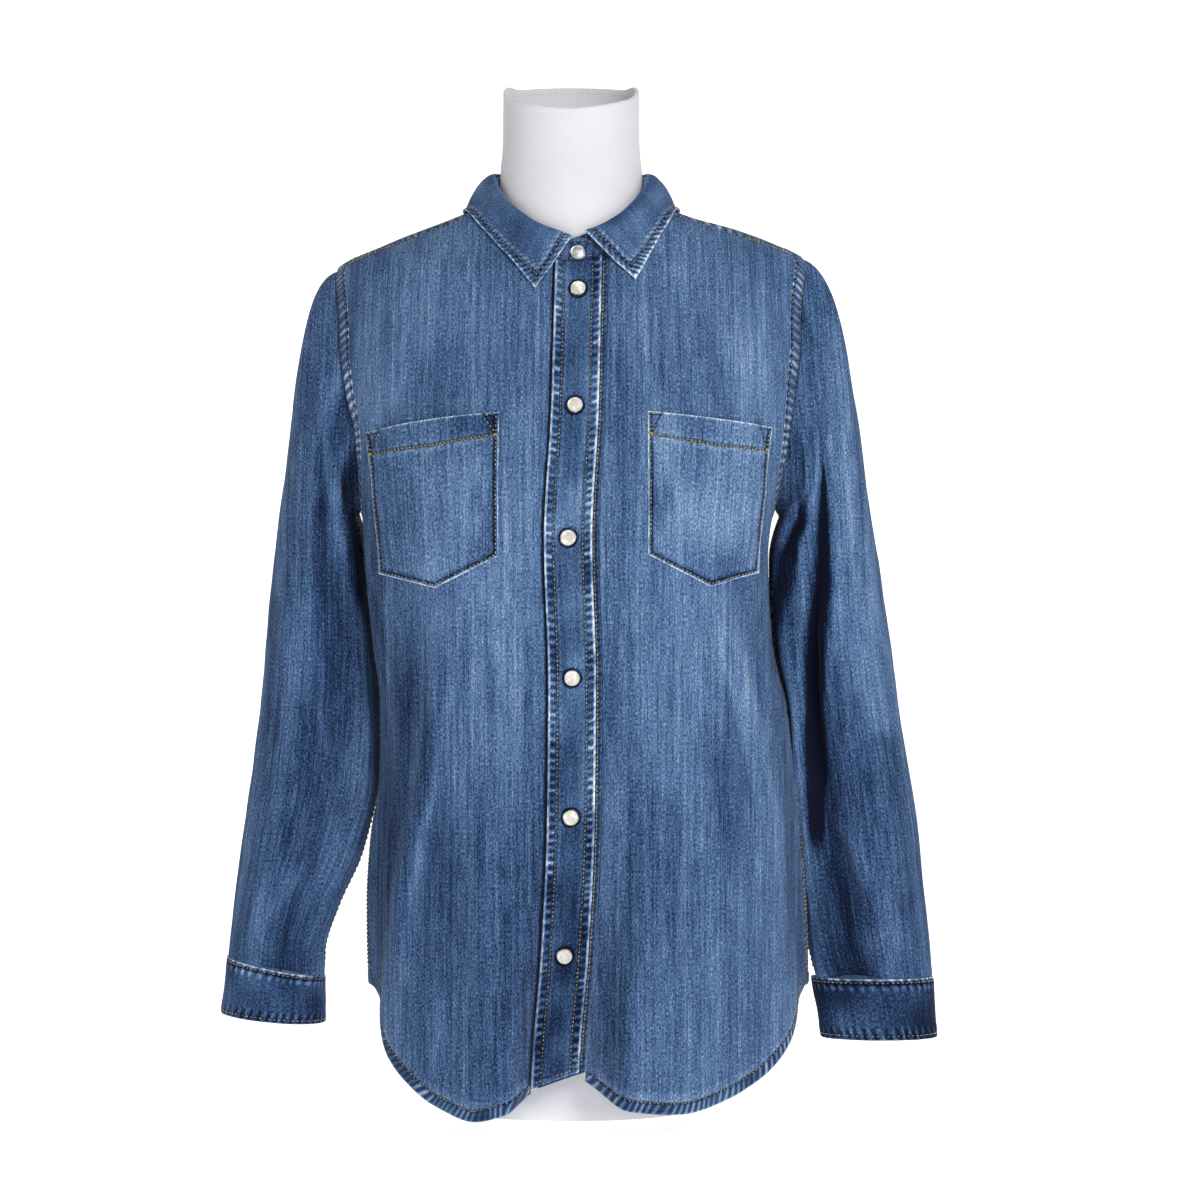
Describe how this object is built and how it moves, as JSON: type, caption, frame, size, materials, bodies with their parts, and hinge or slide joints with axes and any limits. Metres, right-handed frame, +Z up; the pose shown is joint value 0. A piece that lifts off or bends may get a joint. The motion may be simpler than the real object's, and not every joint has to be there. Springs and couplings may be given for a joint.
{
  "type": "denim shirt on dress form",
  "caption": "A women's button-front denim shirt with two chest pockets and snap closures, worn by a white limbless dress form.",
  "frame": {"origin": "middle of the form's flat underside", "axes": "+Z up, the shirt's front faces -Y, +X is on the right seen from the front"},
  "size_m": [0.5742, 0.2529, 0.8278],
  "materials": {
    "denim": "washed blue twill with paler worn seams",
    "snap": "pearly white caps with thin dark metal rims",
    "form": "matte white cover over a firm body"
  },
  "bodies": {
    "root": {"front_left": "denim", "front_right": "denim", "back": "denim", "placket": "denim", "underband": "denim", "pocket_left": "denim", "pocket_right": "denim", "sleeve_left": "denim", "sleeve_right": "denim", "cuff_left": "denim", "cuff_right": "denim", "collar_stand": "denim", "collar_leaf": "denim", "snap_1": "snap", "snap_2": "snap", "snap_3": "snap", "snap_4": "snap", "snap_5": "snap", "snap_6": "snap", "dress_form": "form", "snap_neck": "snap", "snap_cuff_left": "snap", "snap_cuff_right": "snap"}
  },
  "joints": []
}
